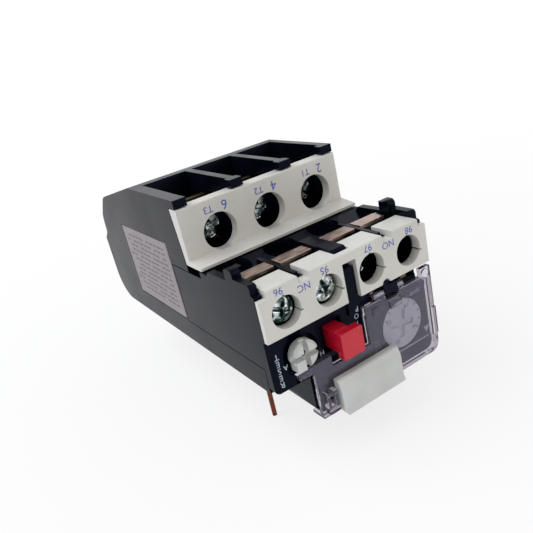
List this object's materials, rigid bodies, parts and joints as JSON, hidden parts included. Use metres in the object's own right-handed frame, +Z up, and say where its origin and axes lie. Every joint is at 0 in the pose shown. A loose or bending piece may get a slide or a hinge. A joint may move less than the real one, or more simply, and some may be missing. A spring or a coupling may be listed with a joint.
{
  "type": "thermal overload relay",
  "caption": "Thermal overload relay that plugs under a contactor: black moulded housing, grey terminal covers, setting dial under a clear hinged cover, red stop button and reset knob.",
  "frame": {"origin": "where the middle contactor pin leaves the underside, on the pin's axis", "axes": "+Z up to the cable side, so the contactor pins point down along -Z; +Y from the front with the dial and buttons to the rear; +X to the right seen from the front"},
  "size_m": [0.045, 0.0955, 0.058],
  "materials": {
    "black_moulding": "glossy moulded black",
    "grey_moulding": "satin warm light grey",
    "red_plastic": "satin red",
    "pale_plastic": "satin off-white",
    "clear_plastic": "clear moulded polycarbonate",
    "zinc_steel": "bright zinc plate",
    "steel": "plain",
    "brass_metal": "plain brass",
    "copper_metal": "tarnished copper",
    "paper_label": "matt paper label",
    "brown_plastic": "satin phenolic brown"
  },
  "bodies": {
    "housing": {"base_housing": "black_moulding", "control_housing": "black_moulding", "load_terminal_cover": "grey_moulding", "aux_terminal_cover": "grey_moulding", "load_terminal_screws": "zinc_steel", "aux_terminal_screws": "zinc_steel", "load_clamp_plates": "zinc_steel", "housing_screws": "zinc_steel", "cover_hinge_pin": "steel", "stop_spring": "steel", "reset_spring": "steel", "trip_lever_pin": "steel", "contact_rocker_pin": "steel", "bimetal_strip_1": "steel", "bimetal_strip_2": "steel", "bimetal_strip_3": "steel", "heater_bracket_1": "steel", "heater_bracket_2": "steel", "heater_bracket_3": "steel", "aux_clamp_plates": "brass_metal", "load_terminal_bar_1": "brass_metal", "load_terminal_bar_2": "brass_metal", "load_terminal_bar_3": "brass_metal", "contact_strip_95": "brass_metal", "contact_strip_96": "brass_metal", "contact_strip_97": "brass_metal", "contact_strip_98": "brass_metal", "heater_winding_1": "brass_metal", "heater_winding_2": "brass_metal", "heater_winding_3": "brass_metal", "contactor_pin_left": "copper_metal", "contactor_pin_middle": "copper_metal", "contactor_pin_right": "copper_metal", "side_label": "paper_label", "adjusting_lever": "brown_plastic"},
    "dial": {"setting_dial": "pale_plastic", "setting_cam": "pale_plastic"},
    "stop": {"stop_button": "red_plastic"},
    "reset_slider": {"reset_plunger": "brown_plastic"},
    "reset_turner": {"reset_knob": "pale_plastic"},
    "test": {"test_slider": "brown_plastic"},
    "cover": {"clear_cover": "clear_plastic", "finger_tab": "pale_plastic"},
    "driving": {"driving_bar": "pale_plastic"},
    "differential": {"differential_bar": "pale_plastic"},
    "trip": {"trip_lever": "brown_plastic", "compensating_strip": "steel"},
    "rocker": {"contact_rocker": "pale_plastic", "moving_contact_nc": "brass_metal", "moving_contact_no": "brass_metal"}
  },
  "joints": [
    {"name": "cover_swing", "type": "hinge", "parent": "housing", "child": "cover", "pos_m": [0.008, -0.0202, 0.0109], "axis": [-1, 0, 0], "range_deg": [0, 110]},
    {"name": "dial_turn", "type": "hinge", "parent": "housing", "child": "dial", "pos_m": [0.0132, -0.0185, 0.0009], "axis": [0, -1, 0], "range_deg": [-150, 150]},
    {"name": "stop_press", "type": "slide", "parent": "housing", "child": "stop", "axis": [0, 1, 0], "range_m": [0, 0.0022], "stiffness_N_per_m": 400, "springref_m": -0.002, "deforming": ["stop_spring"]},
    {"name": "reset_press", "type": "slide", "parent": "housing", "child": "reset_slider", "axis": [0, 1, 0], "range_m": [0, 0.001], "stiffness_N_per_m": 400, "springref_m": -0.002, "deforming": ["reset_spring"]},
    {"name": "reset_turn", "type": "hinge", "parent": "reset_slider", "child": "reset_turner", "pos_m": [-0.0146, -0.0205, 0.0072], "axis": [0, 1, 0], "range_deg": [0, 90]},
    {"name": "test_slide", "type": "slide", "parent": "housing", "child": "test", "axis": [1, 0, 0], "range_m": [0, 0.0022], "stiffness_N_per_m": 200, "springref_m": -0.001},
    {"name": "driving_slide", "type": "slide", "parent": "housing", "child": "driving", "axis": [1, 0, 0], "range_m": [0, 0.0018], "stiffness_N_per_m": 200, "springref_m": -0.001},
    {"name": "differential_slide", "type": "slide", "parent": "housing", "child": "differential", "axis": [1, 0, 0], "range_m": [0, 0.0018], "stiffness_N_per_m": 200, "springref_m": -0.001},
    {"name": "trip_swing", "type": "hinge", "parent": "housing", "child": "trip", "pos_m": [0.012, 0.0035, 0.0179], "axis": [0, 0, 1], "range_deg": [-14.74, 0]},
    {"name": "rocker_swing", "type": "hinge", "parent": "housing", "child": "rocker", "pos_m": [0, 0.0003, 0.0151], "axis": [0, 0, 1], "range_deg": [-6.2, 0]}
  ],
  "couplings": [
    {"joint": "trip_swing", "follows": "driving_slide", "rad_per_m": -142.86}
  ]
}
